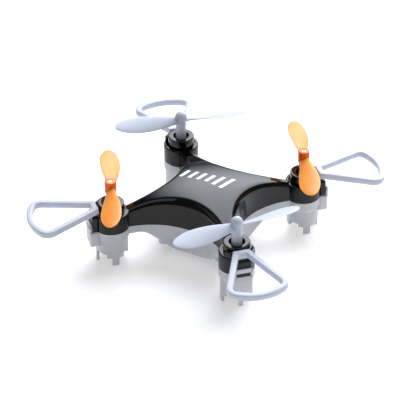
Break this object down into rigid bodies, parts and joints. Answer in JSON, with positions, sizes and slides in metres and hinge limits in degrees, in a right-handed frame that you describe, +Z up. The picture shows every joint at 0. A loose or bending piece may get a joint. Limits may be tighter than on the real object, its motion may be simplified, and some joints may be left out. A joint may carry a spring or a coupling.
{
  "type": "palm quadcopter drone",
  "caption": "Palm-sized quadcopter: glossy domed upper shell, smoked lower shell with legs, loop guards and two-blade propellers on coreless motors.",
  "frame": {"origin": "on the ground under the centre of the body, level with the tips of the legs", "axes": "+Z up, +Y towards the nose with the power switch, +X to the drone's right; the arms run on the diagonals"},
  "size_m": [0.065, 0.065, 0.0213],
  "materials": {
    "black_shell": "high gloss moulded ABS",
    "smoke_shell": "frosted translucent polycarbonate",
    "steel_screw": "zinc plated",
    "board": "green solder resist",
    "chip": "moulded epoxy",
    "crystal_can": "drawn can",
    "capacitor": "ceramic",
    "antenna": "wire insulation",
    "cell_foil": "laminated pouch foil",
    "wire": "wire insulation",
    "foam": "closed cell foam tape",
    "switch_steel": "pressed tinned steel",
    "switch_knob": "moulded",
    "socket_body": "moulded nylon",
    "contact": "plated",
    "white_guard": "moulded, satin",
    "orange_blade": "moulded, translucent",
    "white_blade": "moulded, satin gloss",
    "shaft": "ground",
    "copper": "enamelled copper wire",
    "motor_steel": "drawn and nickel plated",
    "bush": "sintered",
    "magnet": "nickel plated",
    "end_cap": "moulded nylon",
    "led": "clear epoxy"
  },
  "bodies": {
    "airframe": {"antenna_wire": "antenna", "battery_cell": "cell_foil", "battery_leads": "wire", "battery_pad": "foam", "battery_protection_board": "board", "bottom_shell": "smoke_shell", "capacitors": "capacitor", "charge_socket": "socket_body", "charge_socket_pins": "contact", "circuit_board": "board", "crystal": "crystal_can", "guard_front_left": "white_guard", "guard_front_right": "white_guard", "guard_rear_left": "white_guard", "guard_rear_right": "white_guard", "gyro_chip": "chip", "motor_bush_front_left": "bush", "motor_bush_front_right": "bush", "motor_bush_rear_left": "bush", "motor_bush_rear_right": "bush", "motor_can_front_left": "motor_steel", "motor_can_front_right": "motor_steel", "motor_can_rear_left": "motor_steel", "motor_can_rear_right": "motor_steel", "motor_drivers": "chip", "motor_end_cap_front_left": "end_cap", "motor_end_cap_front_right": "end_cap", "motor_end_cap_rear_left": "end_cap", "motor_end_cap_rear_right": "end_cap", "motor_leads_front_left": "wire", "motor_leads_front_right": "wire", "motor_leads_rear_left": "wire", "motor_leads_rear_right": "wire", "motor_magnet_front_left": "magnet", "motor_magnet_front_right": "magnet", "motor_magnet_rear_left": "magnet", "motor_magnet_rear_right": "magnet", "power_switch_housing": "switch_steel", "processor_chip": "chip", "radio_chip": "chip", "shell_screws": "steel_screw", "status_led_front_left": "led", "status_led_front_right": "led", "status_led_rear_left": "led", "status_led_rear_right": "led", "top_shell": "black_shell"},
    "rotor_front_left": {"motor_coil_front_left": "copper", "motor_shaft_front_left": "shaft", "propeller_front_left": "white_blade"},
    "rotor_front_right": {"motor_coil_front_right": "copper", "motor_shaft_front_right": "shaft", "propeller_front_right": "orange_blade"},
    "rotor_rear_left": {"motor_coil_rear_left": "copper", "motor_shaft_rear_left": "shaft", "propeller_rear_left": "orange_blade"},
    "rotor_rear_right": {"motor_coil_rear_right": "copper", "motor_shaft_rear_right": "shaft", "propeller_rear_right": "white_blade"},
    "switch_slider": {"power_switch_slider": "switch_knob"}
  },
  "joints": [
    {"name": "rotor_spin_front_right", "type": "hinge", "parent": "airframe", "child": "rotor_front_right", "pos_m": [0.016, 0.016, 0.0186], "axis": [0, 0, 1], "continuous": true},
    {"name": "rotor_spin_front_left", "type": "hinge", "parent": "airframe", "child": "rotor_front_left", "pos_m": [-0.016, 0.016, 0.0186], "axis": [0, 0, 1], "continuous": true},
    {"name": "rotor_spin_rear_left", "type": "hinge", "parent": "airframe", "child": "rotor_rear_left", "pos_m": [-0.016, -0.016, 0.0186], "axis": [0, 0, 1], "continuous": true},
    {"name": "rotor_spin_rear_right", "type": "hinge", "parent": "airframe", "child": "rotor_rear_right", "pos_m": [0.016, -0.016, 0.0186], "axis": [0, 0, 1], "continuous": true},
    {"name": "power_switch_slide", "type": "slide", "parent": "airframe", "child": "switch_slider", "axis": [1, 0, 0], "range_m": [0, 0.0015]}
  ]
}
